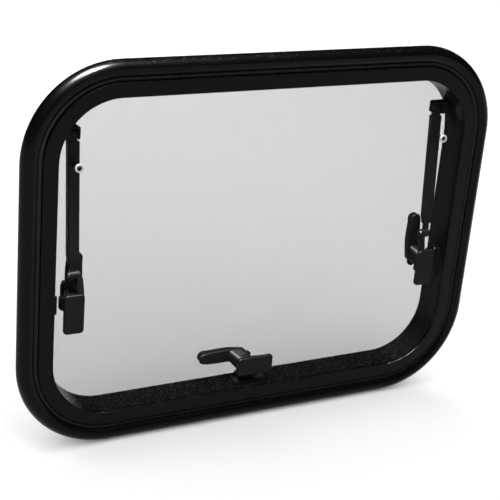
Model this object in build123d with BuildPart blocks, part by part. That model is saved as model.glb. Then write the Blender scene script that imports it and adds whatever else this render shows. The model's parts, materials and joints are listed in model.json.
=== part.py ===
"""Top-hung window for the side wall of a camper or caravan, opening outwards.

A rounded frame is clamped through the wall by a ring on the room side. A double acrylic sash
hangs from a hinge rail along the top, two telescopic stays hold it open, and three finger
levers lock it against keepers on the frame.

Millimetres. X runs to the right seen from the room, Z runs up and +Y runs outdoors. The origin
is the centre of the wall opening, in the plane of the wall's room-side face.
"""

import math
import os

from build123d import *

# Whole window
WIDTH = 620.0
HEIGHT = 470.0
CORNER_RADIUS = 113.6
WALL_THICKNESS = 15.0
RUNNING_GAP = 0.05
SEAT_GAP = 0.02
PANEL_GAP = 0.3

# Room-side clamp ring, as insets from its outer outline and depths in Y
BEAD_CREST = (9.0, -14.0)
GROOVE_START = 17.6
GROOVE_END = 24.0
GROOVE_FLOOR = -6.0
GROOVE_TOP = -10.6
BAND_EDGE = 41.5
BAND_DEPTH = -12.8
RING_SKIN = 2.8
RING_LIP_DEPTH = -9.9

# Outer frame
TAPE_START, TAPE_END = 11.0, 16.0
TAPE_THICKNESS = 1.0
FLANGE_START, FLANGE_END = 10.0, 27.5
FLANGE_BACK = WALL_THICKNESS + TAPE_THICKNESS
FLANGE_FRONT = FLANGE_BACK + 3.0
FLANGE_EDGE = 1.5
WEB_START = 17.2
SEAT_START = 25.0
SEAT_BACK, SEAT_FRONT = 21.0, 24.0
SILL_EDGE = 44.1
SILL_THICKNESS = 2.4
SILL_TOP = -9.7
RIB_THICKNESS = 1.5
RIB_TOP = -3.0

# Clamp screws in the groove
CLAMP_SCREWS = 20
SCREW_LINE = (GROOVE_START + GROOVE_END) / 2
CLAMP_HEAD_RADIUS, CLAMP_HEAD_HEIGHT = 2.8, 1.6
CLAMP_SHANK_RADIUS, CLAMP_SHANK_LENGTH = 1.5, 21.5
CHANNEL_HALF = 1.6

# Sash: flat inner skin and domed outer skin, bonded along the rim
SASH_INSET = 19.5
SKIN = 2.5
INNER_SKIN_BACK = 27.0
INNER_SKIN_FRONT = INNER_SKIN_BACK + SKIN
BOND_THICKNESS = 0.5
BOND_START, BOND_END = 21.0, 30.0
RIM_BACK = INNER_SKIN_FRONT + BOND_THICKNESS
RIM_FRONT = RIM_BACK + SKIN
DOME_FOOT, DOME_TOP = 31.0, 56.0
DOME_BACK = 42.0
DOME_FRONT = DOME_BACK + SKIN
SEAL_TOP = INNER_SKIN_BACK - PANEL_GAP

# Top hinge
HINGE_INSET = 15.0
HINGE_DEPTH = 25.0
HINGE_LENGTH = 376.0
BEAD_RADIUS = 2.2
HOOK_WALL = 1.95
LEAF = 1.8
MOUTH_LOW, MOUTH_HIGH = -46.0, 74.0
RAIL_START, RAIL_END = 11.0, 24.8
RAIL_FOOT = 2.2
SASH_LEAF_DROP = 11.0
HINGE_RIVETS = 7
RIVET_INSET = 21.8

# Latches: u runs along the frame, v in from the ring's outline, depths point at the room
LATCH_INSET = 66.8
SIDE_LATCH_HEIGHT = -61.0
LEVER_OFFSET = -8.0
PLATE_LENGTH, PLATE_WIDTH = 49.0, 24.5
PLATE_CENTRE = (1.5, 0.5)
PLATE_BACK, PLATE_FRONT = 3.0, 7.4
FOOT_LENGTH, FOOT_WIDTH = 38.0, 11.0
FOOT_TOP = -23.4
FOOT_SCREW_REACH = 14.6
SPINDLE_RADIUS = 4.0
HUB_RADIUS = 7.0
HUB_BASE, HUB_TOP = -23.0, 2.3
FINGER_TOP = -15.0
FINGER_SHIFT = {"left": -5.0, "right": 0.8, "bottom": 0.0}
SHOULDER_ROOT = (21.0, 13.0, 4.0)
SHOULDER_HEAD = (21.0, 21.0, 7.0)
SHOULDER_LEAN, SHOULDER_RISE, SHOULDER_HEAD_RISE = 5.0, 7.5, 0.5
SHOULDER_BITE = 1.5
CAM_REACH, CAM_WIDTH = 12.4, 14.0
TONGUE_BASE, TONGUE_TOP = -12.5, -4.5
TONGUE_REACH, TONGUE_WIDTH = 19.5, 9.0
WASHER_RADIUS = 8.0
LATCH_SCREW_RADIUS = 1.9
BACKING_THICKNESS = 2.5
SMALL_SCREW_HEAD, SMALL_SCREW_SHANK = 2.7, 1.5
SMALL_HEAD_HEIGHT = 1.4

# Keepers on the frame's sill
KEEPER_LENGTH = 43.0
KEEPER_ROOM_END, KEEPER_OUTER_END = -2.0, 21.0
KEEPER_PLATE = 2.0
LUG_ROOM_FACE = 13.0
LUG_INSET = {"left": 53.4, "right": 53.4, "bottom": 51.8}
LUG_LENGTH, LUG_CENTRE = 22.0, -3.0
KEEPER_SCREW_SPACING = 33.0
KEEPER_SCREW_DEPTH = 8.0

# Telescopic stays
STAY_X = 243.0
FRAME_PIVOT = (17.2, 148.0)
SASH_PIVOT = (3.6, -17.0)
TUBE_WIDTH, TUBE_DEPTH, TUBE_WALL = 14.2, 10.0, 1.3
TUBE_START, TUBE_END = 9.5, 141.5
COLLAR_END = 152.0
ROD_WIDTH, ROD_DEPTH = 7.0, 4.6
ROD_START = 21.0
SLIDER_LENGTH = 12.0
EYE_RADIUS, EYE_WIDTH = 5.5, 7.6
PIN_RADIUS = 2.5
PIN_HEAD_RADIUS, PIN_HEAD_HEIGHT = 4.0, 1.6
KNOB_PLACE = 35.0
KNOB_STEM_RADIUS, KNOB_SHANK_RADIUS = 3.0, 1.9
KNOB_DISC_RADIUS, KNOB_DISC_BACK, KNOB_DISC_FRONT = 5.0, 19.5, 22.0

# Stay brackets on the frame
BRACKET_HALF_HEIGHT, BRACKET_HALF_DEPTH = 6.0, 7.0
BRACKET_EAR = 2.2
BRACKET_BRIDGE = 2.5
BRACKET_PLATE_BOTTOM, BRACKET_PLATE_TOP = 122.0, 157.0
BRACKET_PLATE_ROOM, BRACKET_PLATE_OUTER = 5.0, 23.0
BRACKET_SCREW_ANGLES = (3.5, 12.0)

# Ear on each side latch plate that carries the stay's lower end
EAR_BLADE = 3.4
EAR_GAP = 0.5
EAR_RIB = 8.0
EAR_RIB_REACH = 17.0

OUTDOORS = Vector(0, 1, 0)
os.makedirs("parts", exist_ok=True)


def finish(piece, name):
    """Label a finished piece and write its STEP file."""
    piece.part.label = name
    export_step(piece.part, f"parts/{name}.step")


def wall_plane(depth):
    """Plane parallel to the wall at a depth in Y, local x to the right and local y up."""
    return Plane.XZ.offset(-depth)


def outline(inset):
    """Rounded rectangle a given distance inside the ring's outer outline."""
    return RectangleRounded(WIDTH - 2 * inset, HEIGHT - 2 * inset, CORNER_RADIUS - inset)


def outline_wire(inset):
    """The same rounded rectangle as a wire in the wall's room-side face."""
    with BuildSketch(Plane.XZ) as loop:
        outline(inset)
    return loop.sketch.face().outer_wire()


def section_of(path):
    """Plane square to the start of a path: local x runs inwards and local y runs outdoors."""
    inward = OUTDOORS.cross(path % 0)
    if inward.dot(path @ 0) > 0:
        inward = -inward
    return Plane(origin=path @ 0, x_dir=inward, z_dir=inward.cross(OUTDOORS))


def strip(near, far, back, front):
    """Rectangle in a ring section, from two insets and two depths."""
    with Locations((near, back)):
        Rectangle(far - near, front - back, align=(Align.MIN, Align.MIN))


def sill_inset(depth):
    """Inset of the sill's visible face, which leans in towards the glass."""
    return BAND_EDGE + (SILL_EDGE - BAND_EDGE) * (depth - BAND_DEPTH) / (SEAT_FRONT - BAND_DEPTH)


RING_PATH = outline_wire(0)
RING_SECTION = section_of(RING_PATH)
SILL_LEAN = math.atan2(SILL_EDGE - BAND_EDGE, SEAT_FRONT - BAND_DEPTH)
CLAMP_POINTS = [outline_wire(SCREW_LINE) @ (k / CLAMP_SCREWS) for k in range(CLAMP_SCREWS)]


def screws(planes, head_radius, head_height, shank_radius, length, name):
    """A group of pan-head screws; each plane sits on a seat and looks out at the driver."""
    recess = head_radius * 1.1
    with BuildPart() as group:
        with BuildSketch(*planes):
            Circle(head_radius)
        extrude(amount=head_height, taper=18)
        with BuildSketch(*[plane.offset(head_height) for plane in planes]):
            Rectangle(recess, recess / 4)
            Rectangle(recess / 4, recess)
        extrude(amount=-head_height / 2, mode=Mode.SUBTRACT)
        with BuildSketch(*planes):
            Circle(shank_radius)
        extrude(amount=-length)
    finish(group, name)


# ---------------------------------------------------------------- frame


def make_clamp_ring():
    """Rounded bead, screw groove and flat band in one hollow section."""
    band_start = GROOVE_TOP - 0.8
    with BuildPart() as ring:
        with BuildSketch(RING_SECTION):
            with BuildLine():
                foot = Line((3.0, 0.0), (0.6, 0.0))
                side = Line(foot @ 1, (0.0, -2.2))
                rise = ThreePointArc(side @ 1, (2.65, -9.7), BEAD_CREST)
                fall = ThreePointArc(rise @ 1, (13.8, -13.1), (GROOVE_START, GROOVE_TOP))
                groove = Polyline(
                    fall @ 1,
                    (GROOVE_START, GROOVE_FLOOR),
                    (GROOVE_END, GROOVE_FLOOR),
                    (GROOVE_END, band_start),
                    (GROOVE_END + 0.8, band_start - 0.5),
                    (BAND_EDGE - 0.9, BAND_DEPTH),
                )
                edge = RadiusArc(groove @ 1, (BAND_EDGE, BAND_DEPTH + 0.9), 0.9)
                under = Polyline(
                    edge @ 1,
                    (BAND_EDGE, RING_LIP_DEPTH),
                    (BAND_EDGE - RING_SKIN, RING_LIP_DEPTH),
                    (GROOVE_END + RING_SKIN, RING_LIP_DEPTH + 0.9),
                    (GROOVE_END + RING_SKIN, GROOVE_FLOOR + RING_SKIN),
                    (GROOVE_START - RING_SKIN, GROOVE_FLOOR + RING_SKIN),
                    (GROOVE_START - RING_SKIN, GROOVE_TOP + 1.6),
                )
                inside = ThreePointArc(under @ 1, (9.0, -11.1), (3.0, -4.0))
                Line(inside @ 1, foot @ 0)
            make_face()
        sweep(path=RING_PATH)
        with BuildSketch(*[Plane(origin=point, z_dir=-OUTDOORS) for point in CLAMP_POINTS]):
            Circle(CLAMP_SHANK_RADIUS + RUNNING_GAP)
        extrude(amount=-GROOVE_FLOOR, mode=Mode.SUBTRACT)
    finish(ring, "clamp_ring")


def make_cover_strip():
    """U-shaped rubber strip that hides the screw heads in the groove."""
    near, far = GROOVE_START + RUNNING_GAP, GROOVE_END - RUNNING_GAP
    floor_top, leg = -9.1, 1.05
    floor_back = GROOVE_FLOOR - CLAMP_HEAD_HEIGHT - PANEL_GAP
    with BuildPart() as cover:
        with BuildSketch(RING_SECTION):
            strip(near, far, floor_top, floor_back)
            strip(near, near + leg, GROOVE_TOP + 0.2, floor_back)
            strip(far - leg, far, GROOVE_TOP - 0.6, floor_back)
        sweep(path=RING_PATH)
    finish(cover, "cover_strip")


def sill_screw_plane(edge_point, across, depth):
    """Seat of a screw on a plate over the sill, at a depth inwards from a point of the outline."""
    normal = across * math.cos(SILL_LEAN) - OUTDOORS * math.sin(SILL_LEAN)
    seat = edge_point + across * sill_inset(depth) + OUTDOORS * depth
    return Plane(origin=seat + normal * (KEEPER_PLATE + 2 * SEAT_GAP), z_dir=normal)


def latch_frame(side):
    """Plane of one latch: local x along the frame, local y into the opening, z at the room."""
    if side == "bottom":
        return Plane(origin=(0, 0, LATCH_INSET - HEIGHT / 2), x_dir=(1, 0, 0), z_dir=(0, -1, 0))
    origin = (LATCH_INSET - WIDTH / 2, 0, SIDE_LATCH_HEIGHT)
    return Plane(origin=origin, x_dir=(0, 0, -1), z_dir=(0, -1, 0))


def mirror_if_right(side):
    """Turn a left-hand piece into the right-hand one."""
    if side == "right":
        mirror(about=Plane.YZ, mode=Mode.REPLACE)


def keeper_screw_planes(side):
    """Seats of the two screws that hold a keeper."""
    frame = latch_frame(side)
    edge = frame.origin - frame.y_dir * LATCH_INSET
    half = KEEPER_SCREW_SPACING / 2
    return [
        sill_screw_plane(edge + frame.x_dir * along, frame.y_dir, KEEPER_SCREW_DEPTH)
        for along in (-half, half)
    ]


def bracket_screw_planes():
    """Seats of the two screws that hold the left stay bracket, on the corner's curve."""
    centre = Vector(CORNER_RADIUS - WIDTH / 2, 0, HEIGHT / 2 - CORNER_RADIUS)
    depth = (BRACKET_PLATE_ROOM + BRACKET_PLATE_OUTER) / 2
    planes = []
    for angle in BRACKET_SCREW_ANGLES:
        outward = Vector(-1, 0, 0).rotate(Axis.Y, angle)
        planes.append(sill_screw_plane(centre + outward * CORNER_RADIUS, -outward, depth))
    return planes


def make_outer_frame():
    """Aluminium frame: flange, web through the wall, seal seat, sill and screw channel."""
    rib_start = SCREW_LINE + CHANNEL_HALF
    sill_base = sill_inset(SILL_TOP)
    with BuildPart() as frame:
        with BuildSketch(RING_SECTION):
            with BuildLine():
                Polyline(
                    (FLANGE_START + FLANGE_EDGE, FLANGE_BACK),
                    (FLANGE_START, FLANGE_BACK),
                    (FLANGE_START, FLANGE_FRONT - FLANGE_EDGE),
                    (FLANGE_START + FLANGE_EDGE, FLANGE_FRONT),
                    (FLANGE_END, FLANGE_FRONT),
                    (FLANGE_END, FLANGE_BACK),
                    close=True,
                )
            make_face()
            strip(WEB_START, SCREW_LINE - CHANNEL_HALF, RIB_TOP, FLANGE_FRONT)
            strip(rib_start, rib_start + RIB_THICKNESS, RIB_TOP, FLANGE_FRONT)
            strip(SEAT_START, FLANGE_END, FLANGE_BACK, SEAT_FRONT)
            strip(SEAT_START, SILL_EDGE - SILL_THICKNESS, SEAT_BACK, SEAT_FRONT)
            with BuildLine():
                Polyline(
                    (sill_base - SILL_THICKNESS, SILL_TOP),
                    (sill_base, SILL_TOP),
                    (SILL_EDGE, SEAT_FRONT),
                    (SILL_EDGE - SILL_THICKNESS, SEAT_FRONT),
                    close=True,
                )
            make_face()
        sweep(path=RING_PATH)
        left_holes = keeper_screw_planes("left") + bracket_screw_planes()
        right_holes = [mirrored_plane(plane) for plane in left_holes]
        with BuildSketch(*(left_holes + right_holes + keeper_screw_planes("bottom"))):
            Circle(SMALL_SCREW_SHANK + RUNNING_GAP)
        extrude(amount=-3 * SILL_THICKNESS, mode=Mode.SUBTRACT)
    finish(frame, "outer_frame")


def mirrored_plane(plane):
    """The same seat on the other side of the window."""
    start, normal = plane.origin, plane.z_dir
    return Plane(origin=(-start.X, start.Y, start.Z), z_dir=(-normal.X, normal.Y, normal.Z))


def make_seals():
    """Foam tape under the outer flange and the rubber seal that the sash closes on."""
    with BuildPart() as tape:
        with BuildSketch(RING_SECTION):
            strip(TAPE_START, TAPE_END, WALL_THICKNESS, FLANGE_BACK)
        sweep(path=RING_PATH)
    finish(tape, "flange_tape")
    with BuildPart() as seal:
        with BuildSketch(RING_SECTION):
            with BuildLine():
                base = Polyline((43.9, 24.9), (43.9, SEAT_FRONT), (28.0, SEAT_FRONT), (28.0, 25.0))
                outer = Polyline(base @ 1, (29.2, SEAL_TOP), (30.4, SEAL_TOP), (32.0, 25.3))
                inner = Polyline(outer @ 1, (38.6, 25.3), (40.2, SEAL_TOP), (41.6, SEAL_TOP))
                Line(inner @ 1, base @ 0)
            make_face()
        sweep(path=RING_PATH)
    finish(seal, "sash_seal")


# ---------------------------------------------------------------- sash


def make_inner_pane():
    """Flat inner skin with the holes of the latch screws."""
    with BuildPart() as pane:
        with BuildSketch(wall_plane(INNER_SKIN_BACK)):
            outline(SASH_INSET)
        extrude(amount=-SKIN)
        for side in ("left", "bottom"):
            with BuildSketch(latch_frame(side).offset(-INNER_SKIN_BACK)):
                with Locations(*foot_screw_points()):
                    Circle(SMALL_SCREW_SHANK + RUNNING_GAP)
            extrude(amount=-SKIN, mode=Mode.SUBTRACT)
        centre = latch_frame("left").origin
        with BuildSketch(wall_plane(INNER_SKIN_BACK)):
            with Locations(*[(-centre.X, centre.Z - u) for u, v in foot_screw_points()]):
                Circle(SMALL_SCREW_SHANK + RUNNING_GAP)
        extrude(amount=-SKIN, mode=Mode.SUBTRACT)
    finish(pane, "inner_pane")


def make_outer_pane():
    """Outer skin: a flat rim that swells into a shallow dome."""
    with BuildPart() as pane:
        with BuildSketch(RING_SECTION):
            with BuildLine():
                rim = Line((SASH_INSET, RIM_BACK), (DOME_FOOT, RIM_BACK))
                swell = Spline(rim @ 1, (DOME_TOP, DOME_BACK), tangents=((1, 0), (1, 0)))
                crown = Line(swell @ 1, (DOME_TOP, DOME_FRONT))
                fall = Spline(crown @ 1, (DOME_FOOT - 1.2, RIM_FRONT), tangents=((-1, 0), (-1, 0)))
                face = Line(fall @ 1, (SASH_INSET, RIM_FRONT))
                Line(face @ 1, rim @ 0)
            make_face()
        sweep(path=RING_PATH)
        with BuildSketch(wall_plane(DOME_BACK)):
            outline(DOME_TOP)
        extrude(amount=-SKIN)
    finish(pane, "outer_pane")


def make_pane_bond():
    """Glue line between the two skins."""
    with BuildPart() as bond:
        with BuildSketch(RING_SECTION):
            strip(BOND_START, BOND_END, INNER_SKIN_FRONT, RIM_BACK)
        sweep(path=RING_PATH)
    finish(bond, "pane_bond")


def hinge_point(inset, depth):
    """Point in the plane across the top hinge."""
    return (depth, HEIGHT / 2 - inset)


def make_hinge():
    """Hooked rail on the frame and the beaded profile on the sash that hangs in it."""
    section = Plane.YZ.offset(-HINGE_LENGTH / 2)
    bore = BEAD_RADIUS + RUNNING_GAP
    hook_radius = bore + HOOK_WALL
    centre = hinge_point(HINGE_INSET, HINGE_DEPTH)
    reach = 2 * hook_radius
    low, high = math.radians(MOUTH_LOW), math.radians(MOUTH_HIGH)
    with BuildPart() as rail:
        with BuildSketch(section):
            with Locations(centre):
                Circle(hook_radius)
            with Locations(hinge_point(RAIL_START, FLANGE_FRONT)):
                Rectangle(RAIL_FOOT, RAIL_END - RAIL_START, align=(Align.MIN, Align.MAX))
            with Locations(centre):
                Circle(bore, mode=Mode.SUBTRACT)
            with BuildLine():
                Polyline(
                    centre,
                    (centre[0] + reach * math.cos(low), centre[1] + reach * math.sin(low)),
                    (centre[0] + reach, centre[1]),
                    (centre[0] + reach * math.cos(high), centre[1] + reach * math.sin(high)),
                    close=True,
                )
            make_face(mode=Mode.SUBTRACT)
        extrude(amount=HINGE_LENGTH)
        with BuildSketch(*hinge_rivet_planes()):
            Circle(SMALL_SCREW_SHANK + RUNNING_GAP)
        extrude(amount=-RAIL_FOOT, mode=Mode.SUBTRACT)
    finish(rail, "hinge_rail")
    shoulder = hinge_point(SASH_INSET - LEAF - RUNNING_GAP, RIM_FRONT)
    with BuildPart() as profile:
        with BuildSketch(section):
            with Locations(centre):
                Circle(BEAD_RADIUS)
            with BuildLine():
                Polyline(
                    (centre[0], centre[1] + LEAF / 2),
                    (shoulder[0] + LEAF, shoulder[1] + LEAF),
                    (shoulder[0] + LEAF, shoulder[1] - SASH_LEAF_DROP),
                    (shoulder[0], shoulder[1] - SASH_LEAF_DROP),
                    (shoulder[0], shoulder[1]),
                    (centre[0], centre[1] - LEAF / 2),
                    close=True,
                )
            make_face()
        extrude(amount=HINGE_LENGTH)
    finish(profile, "sash_hinge_profile")


def hinge_rivet_planes():
    """Rivet seats along the rail's foot, looking outdoors."""
    step = HINGE_LENGTH / HINGE_RIVETS
    depth, height = hinge_point(RIVET_INSET, FLANGE_FRONT + RAIL_FOOT)
    places = [(k - (HINGE_RIVETS - 1) / 2) * step for k in range(HINGE_RIVETS)]
    return [Plane(origin=(x, depth, height), z_dir=OUTDOORS) for x in places]


def make_hinge_rivets():
    """Rivets that hold the rail to the flange."""
    with BuildPart() as rivets:
        with BuildSketch(*hinge_rivet_planes()):
            Circle(SMALL_SCREW_HEAD)
        extrude(amount=1.1, taper=30)
        with BuildSketch(*hinge_rivet_planes()):
            Circle(SMALL_SCREW_SHANK)
        extrude(amount=-RAIL_FOOT)
    finish(rivets, "hinge_rivets")


# ---------------------------------------------------------------- latches


def foot_screw_points():
    """The two screws of a latch foot, one each side of the hub."""
    return [(LEVER_OFFSET - FOOT_SCREW_REACH, 0), (LEVER_OFFSET + FOOT_SCREW_REACH, 0)]


def make_latch_foot(side):
    """Foot on the inner skin, with a socket for the spindle."""
    with BuildPart() as foot:
        with BuildSketch(latch_frame(side).offset(-INNER_SKIN_BACK)):
            with Locations((LEVER_OFFSET, 0)):
                SlotOverall(FOOT_LENGTH, FOOT_WIDTH)
            with Locations(*foot_screw_points()):
                Circle(SMALL_SCREW_SHANK + RUNNING_GAP, mode=Mode.SUBTRACT)
            with Locations((LEVER_OFFSET, 0)):
                Circle(LATCH_SCREW_RADIUS, mode=Mode.SUBTRACT)
        extrude(amount=INNER_SKIN_BACK + FOOT_TOP)
        top = foot.faces().sort_by(Axis.Y)[0]
        chamfer(top.outer_wire().edges(), 0.8)
        mirror_if_right(side)
    finish(foot, f"latch_foot_{side}")


def make_latch_backing(side):
    """Threaded plate inside the sash that the foot's screws pull against."""
    with BuildPart() as backing:
        with BuildSketch(latch_frame(side).offset(-INNER_SKIN_FRONT - BACKING_THICKNESS)):
            with Locations((LEVER_OFFSET, 0)):
                SlotOverall(FOOT_LENGTH - 2, FOOT_WIDTH - 6)
            with Locations(*foot_screw_points()):
                Circle(SMALL_SCREW_SHANK + RUNNING_GAP, mode=Mode.SUBTRACT)
        extrude(amount=BACKING_THICKNESS)
        mirror_if_right(side)
    finish(backing, f"latch_backing_{side}")


def make_latch_spindle(side):
    """Fixed steel spindle that the lever turns on."""
    with BuildPart() as spindle:
        with BuildSketch(latch_frame(side).offset(FOOT_TOP)):
            with Locations((LEVER_OFFSET, 0)):
                Circle(SPINDLE_RADIUS)
                Circle(LATCH_SCREW_RADIUS + RUNNING_GAP, mode=Mode.SUBTRACT)
        extrude(amount=PLATE_BACK - FOOT_TOP)
        mirror_if_right(side)
    finish(spindle, f"latch_spindle_{side}")


def make_latch_lever(side):
    """Finger, hub, shoulder, locking tongue and cam in one moulding."""
    frame = latch_frame(side)
    shift = FINGER_SHIFT[side]
    with BuildPart() as lever:
        with BuildSketch(frame.offset(HUB_BASE)):
            with Locations((0, shift)):
                with BuildLine():
                    upper = Spline((-60.0, 16.6), (-47.0, 16.4), (-32.0, 16.8), (-17.0, 15.4), (-5.0, 13.4))
                    root = ThreePointArc(upper @ 1, (-1.0, 10.5), (-2.0, 6.0))
                    heel = Line(root @ 1, (-12.0, -1.0 - shift / 2))
                    lower = Spline(heel @ 1, (-21.0, 1.6), (-31.0, 0.4), (-43.0, 0.6), (-56.0, 2.6))
                    ThreePointArc(lower @ 1, (-66.4, 9.6), upper @ 0)
                make_face()
        extrude(amount=FINGER_TOP - HUB_BASE)
        with BuildSketch(frame.offset(FINGER_TOP - SHOULDER_BITE)):
            with Locations((LEVER_OFFSET - SHOULDER_LEAN, SHOULDER_RISE + shift)):
                RectangleRounded(*SHOULDER_ROOT)
        with BuildSketch(frame.offset(HUB_TOP)):
            with Locations((LEVER_OFFSET, SHOULDER_HEAD_RISE)):
                RectangleRounded(*SHOULDER_HEAD)
        loft()
        with BuildSketch(frame.offset(HUB_BASE)):
            with Locations((LEVER_OFFSET, 0)):
                Circle(HUB_RADIUS)
        extrude(amount=HUB_TOP - HUB_BASE)
        with BuildSketch(frame.offset(TONGUE_BASE)):
            with Locations((LEVER_OFFSET, -TONGUE_WIDTH / 2)):
                Rectangle(TONGUE_REACH, TONGUE_WIDTH, align=(Align.MIN, Align.MIN))
            with Locations((LEVER_OFFSET, -CAM_REACH)):
                Rectangle(CAM_WIDTH, CAM_REACH, align=(Align.CENTER, Align.MIN))
        extrude(amount=TONGUE_TOP - TONGUE_BASE)
        with BuildSketch(frame.offset(HUB_BASE)):
            with Locations((LEVER_OFFSET, 0)):
                Circle(SPINDLE_RADIUS + RUNNING_GAP)
        extrude(amount=HUB_TOP - HUB_BASE, mode=Mode.SUBTRACT)
        mirror_if_right(side)
    finish(lever, f"latch_lever_{side}")


def make_latch_washer(side):
    """Spring washer that gives the lever its stiffness."""
    with BuildPart() as washer:
        with BuildSketch(latch_frame(side).offset(HUB_TOP + 0.1)):
            with Locations((LEVER_OFFSET, 0)):
                Circle(WASHER_RADIUS)
                Circle(SPINDLE_RADIUS + RUNNING_GAP, mode=Mode.SUBTRACT)
        extrude(amount=PLATE_BACK - HUB_TOP - 0.2)
        mirror_if_right(side)
    finish(washer, f"latch_washer_{side}")


def make_latch_plate(side):
    """Fixed grip plate over the lever; a side plate also carries the stay's ear."""
    frame = latch_frame(side)
    near = PLATE_CENTRE[0] - PLATE_LENGTH / 2
    with BuildPart() as plate:
        with BuildSketch(frame.offset(PLATE_BACK)):
            with Locations(PLATE_CENTRE):
                RectangleRounded(PLATE_LENGTH, PLATE_WIDTH, 4.5)
        extrude(amount=PLATE_FRONT - PLATE_BACK)
        rim = plate.faces().sort_by(Axis.Y)[0].edges()
        fillet(rim, 1.6)
        if side != "bottom":
            add(stay_ear(frame, near))
        with BuildSketch(frame.offset(PLATE_BACK)):
            with Locations((LEVER_OFFSET, 0)):
                Circle(LATCH_SCREW_RADIUS + RUNNING_GAP)
        extrude(amount=2.0, mode=Mode.SUBTRACT)
        mirror_if_right(side)
    finish(plate, f"latch_plate_{side}")


def ear_pivot():
    """The stay's lower pivot in a side latch's own frame: along the frame, and depth."""
    return (SIDE_LATCH_HEIGHT - SASH_PIVOT[1], -SASH_PIVOT[0])


def stay_ear(frame, near):
    """Blade beside the stay's eye, stiffened by a rib where it meets the left latch plate."""
    blade_near = LATCH_INSET + STAY_X - WIDTH / 2 + EYE_WIDTH / 2 + EAR_GAP
    along, depth = ear_pivot()
    start = frame.origin + frame.y_dir * blade_near
    blade_plane = Plane(origin=start, x_dir=frame.x_dir, z_dir=frame.y_dir)
    with BuildPart() as ear:
        with BuildSketch(blade_plane):
            with BuildLine():
                Polyline(
                    (along - EYE_RADIUS, -depth),
                    (along + EYE_RADIUS / 3, -depth + EYE_RADIUS),
                    (near + 1.5, -PLATE_BACK),
                    (near + 1.5, -PLATE_FRONT + 1.6),
                    (near - 4.0, -PLATE_FRONT + 1.6),
                    (along, -depth - EYE_RADIUS),
                    close=True,
                )
            make_face()
            with Locations((along, -depth)):
                Circle(EYE_RADIUS)
                Circle(PIN_RADIUS, mode=Mode.SUBTRACT)
        extrude(amount=EAR_BLADE)
        with BuildSketch(blade_plane):
            with BuildLine():
                Polyline(
                    (near - EAR_RIB_REACH, -depth + 1.0),
                    (near + 1.5, -PLATE_BACK),
                    (near + 1.5, -PLATE_FRONT + 1.6),
                    (near - EAR_RIB_REACH, -depth - 3.5),
                    close=True,
                )
            make_face()
        extrude(amount=EAR_RIB)
    return ear.part


def make_latch_screws():
    """Long screws through plate and spindle, and the short screws of the feet."""
    long_planes, short_planes = [], []
    for side in ("left", "bottom"):
        frame = latch_frame(side)
        axis_point = frame.origin + frame.x_dir * LEVER_OFFSET
        long_planes.append(Plane(origin=axis_point - OUTDOORS * (PLATE_BACK + 2.0), z_dir=-OUTDOORS))
        for u, v in foot_screw_points():
            seat = frame.origin + frame.x_dir * u
            short_planes.append(Plane(origin=seat - OUTDOORS * FOOT_TOP, z_dir=-OUTDOORS))
    long_planes.append(mirrored_plane(long_planes[0]))
    short_planes += [mirrored_plane(plane) for plane in short_planes[:2]]
    with BuildPart() as studs:
        with BuildSketch(*long_planes):
            Circle(LATCH_SCREW_RADIUS)
        extrude(amount=-(PLATE_BACK + 2.0 + INNER_SKIN_BACK - 0.2))
    finish(studs, "latch_studs")
    length = INNER_SKIN_FRONT + BACKING_THICKNESS + FOOT_TOP
    screws(
        short_planes, SMALL_SCREW_HEAD - 0.2, 0.3, SMALL_SCREW_SHANK, length, "latch_foot_screws"
    )


def make_keeper(side):
    """Plate on the sill with the lug that the tongue catches."""
    frame = latch_frame(side)
    section = Plane(origin=frame.origin, x_dir=frame.y_dir, z_dir=frame.x_dir)
    room_end = sill_inset(KEEPER_ROOM_END) - LATCH_INSET + SEAT_GAP
    outer_end = sill_inset(KEEPER_OUTER_END) - LATCH_INSET + SEAT_GAP
    with BuildPart() as keeper:
        with BuildSketch(section.offset(-KEEPER_LENGTH / 2)):
            with BuildLine():
                Polyline(
                    (room_end, -KEEPER_ROOM_END),
                    (outer_end, -KEEPER_OUTER_END),
                    (outer_end + KEEPER_PLATE, -KEEPER_OUTER_END),
                    (room_end + KEEPER_PLATE, -KEEPER_ROOM_END),
                    close=True,
                )
            make_face()
        extrude(amount=KEEPER_LENGTH)
        lug_root = sill_inset(LUG_ROOM_FACE) - LATCH_INSET + 1.0
        lug_tip = LUG_INSET[side] - LATCH_INSET
        with BuildSketch(section.offset(LUG_CENTRE - LUG_LENGTH / 2)):
            with BuildLine():
                Polyline(
                    (lug_root, -LUG_ROOM_FACE),
                    (lug_tip - 1.0, -LUG_ROOM_FACE),
                    (lug_tip, -LUG_ROOM_FACE - 1.0),
                    (lug_tip, -LUG_ROOM_FACE - 4.0),
                    (lug_root + KEEPER_PLATE, -KEEPER_OUTER_END),
                    (lug_root, -KEEPER_OUTER_END),
                    close=True,
                )
            make_face()
        extrude(amount=LUG_LENGTH)
        side_of_screws = "bottom" if side == "bottom" else "left"
        with BuildSketch(*keeper_screw_planes(side_of_screws)):
            Circle(SMALL_SCREW_SHANK + RUNNING_GAP)
        extrude(amount=-2 * KEEPER_PLATE, mode=Mode.SUBTRACT)
        mirror_if_right(side)
    finish(keeper, f"keeper_{side}")


# ---------------------------------------------------------------- stays

PIVOT_TOP = Vector(-STAY_X, *FRAME_PIVOT)
PIVOT_LOW = Vector(-STAY_X, *SASH_PIVOT)
STAY_LENGTH = (PIVOT_LOW - PIVOT_TOP).length
ALONG = (PIVOT_LOW - PIVOT_TOP).normalized()
ROOMWARD = ALONG.cross(Vector(1, 0, 0))


def across_stay(distance):
    """Plane square to the left stay at a distance below its top pivot."""
    return Plane(origin=PIVOT_TOP + ALONG * distance, x_dir=(1, 0, 0), z_dir=ALONG)


def beside(point, x):
    """Plane of constant X through a pivot, local x down along the stay."""
    return Plane(origin=(x, point.Y, point.Z), x_dir=ALONG, z_dir=(1, 0, 0))


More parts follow.
